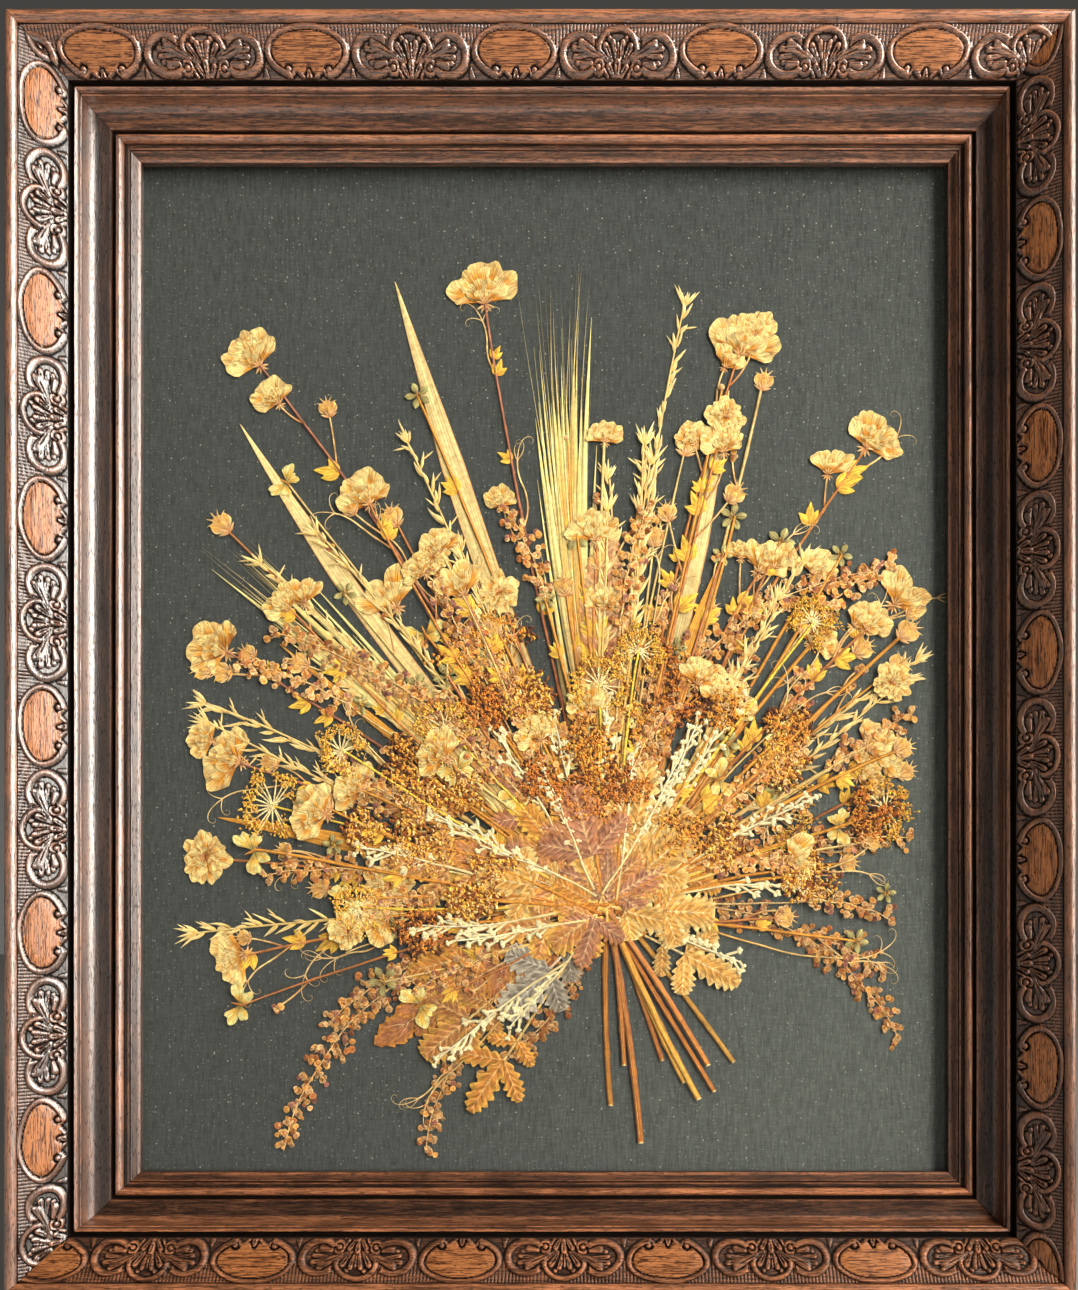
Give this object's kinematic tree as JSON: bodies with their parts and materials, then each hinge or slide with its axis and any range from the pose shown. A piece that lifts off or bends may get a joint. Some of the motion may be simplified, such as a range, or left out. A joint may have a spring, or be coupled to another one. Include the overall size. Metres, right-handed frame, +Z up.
{
  "type": "pressed flower frame",
  "caption": "Carved oak picture frame, glazed, holding a fan-shaped spray of pressed dried flowers, grasses and leaves on a dark cloth.",
  "frame": {"origin": "middle of the top rail's back face, where the frame meets the wall", "axes": "+Z up, +Y into the wall, -Y the glazed front, +X to the viewer's right"},
  "size_m": [0.5534, 0.0632, 0.6643],
  "materials": {
    "stained_oak": "dark stained oak, waxed, worn to orange-brown on the high parts",
    "glass": "clear polished pane",
    "charcoal_cloth": "matt, faint upright weave",
    "mount_card": "matt grey-brown board",
    "backing_ply": "unfinished plywood",
    "brad_steel": "dull steel",
    "brass": "tarnished brass",
    "dry_stem": "dried stalk, satin, orange-brown",
    "dry_blade": "dried grass blade, straw, finely veined",
    "dry_ear": "dried bearded grass ear, pale straw",
    "dry_petal": "dried petals, papery, cream edges and tan folds",
    "dry_seed": "dried papery seed valves, copper to mauve-red",
    "dry_sprig": "dried narrow leaves, golden straw",
    "dry_floret": "dried florets, orange to gold, crumbly",
    "dry_leaf": "dried leaf, mauve-brown to gold, raised veins"
  },
  "bodies": {
    "root": {"rail_top": "stained_oak", "rail_bottom": "stained_oak", "rail_left": "stained_oak", "rail_right": "stained_oak", "glass_pane": "glass", "cloth": "charcoal_cloth", "mount_board": "mount_card", "backing_board": "backing_ply", "brad_1": "brad_steel", "brad_2": "brad_steel", "brad_3": "brad_steel", "brad_4": "brad_steel", "brad_5": "brad_steel", "brad_6": "brad_steel", "screw_eye_left": "brass", "screw_eye_right": "brass", "grass_blade_1": "dry_blade", "grass_blade_2": "dry_blade", "grass_blade_3": "dry_blade", "grass_blade_4": "dry_blade", "cut_stem_1": "dry_stem", "cut_stem_2": "dry_stem", "cut_stem_3": "dry_stem", "cut_stem_4": "dry_stem", "barley_ear_1": "dry_ear", "barley_ear_2": "dry_ear", "narrow_sprig_1": "dry_sprig", "narrow_sprig_2": "dry_sprig", "narrow_sprig_3": "dry_sprig", "bloom_stalk_1": "dry_petal", "bloom_stalk_2": "dry_petal", "bloom_stalk_3": "dry_petal", "bloom_stalk_4": "dry_petal", "bloom_stalk_5": "dry_petal", "bloom_stalk_6": "dry_petal", "bloom_stalk_7": "dry_petal", "bloom_stalk_8": "dry_petal", "bloom_stalk_9": "dry_petal", "bloom_stalk_10": "dry_petal", "seed_spray_1": "dry_seed", "seed_spray_2": "dry_seed", "seed_spray_3": "dry_seed", "seed_spray_4": "dry_seed", "seed_spray_5": "dry_seed", "seed_spray_6": "dry_seed", "seed_spray_7": "dry_seed", "floret_head_1": "dry_floret", "floret_head_2": "dry_floret", "floret_head_3": "dry_floret", "umbel_1": "dry_floret", "umbel_2": "dry_floret", "pinnate_leaf_1": "dry_leaf", "pinnate_leaf_2": "dry_leaf", "pinnate_leaf_3": "dry_leaf", "pinnate_leaf_4": "dry_leaf", "silver_leaf": "dry_leaf", "collar_leaf": "dry_leaf", "blossom_1": "dry_petal", "blossom_2": "dry_petal", "blossom_3": "dry_petal"}
  },
  "joints": []
}
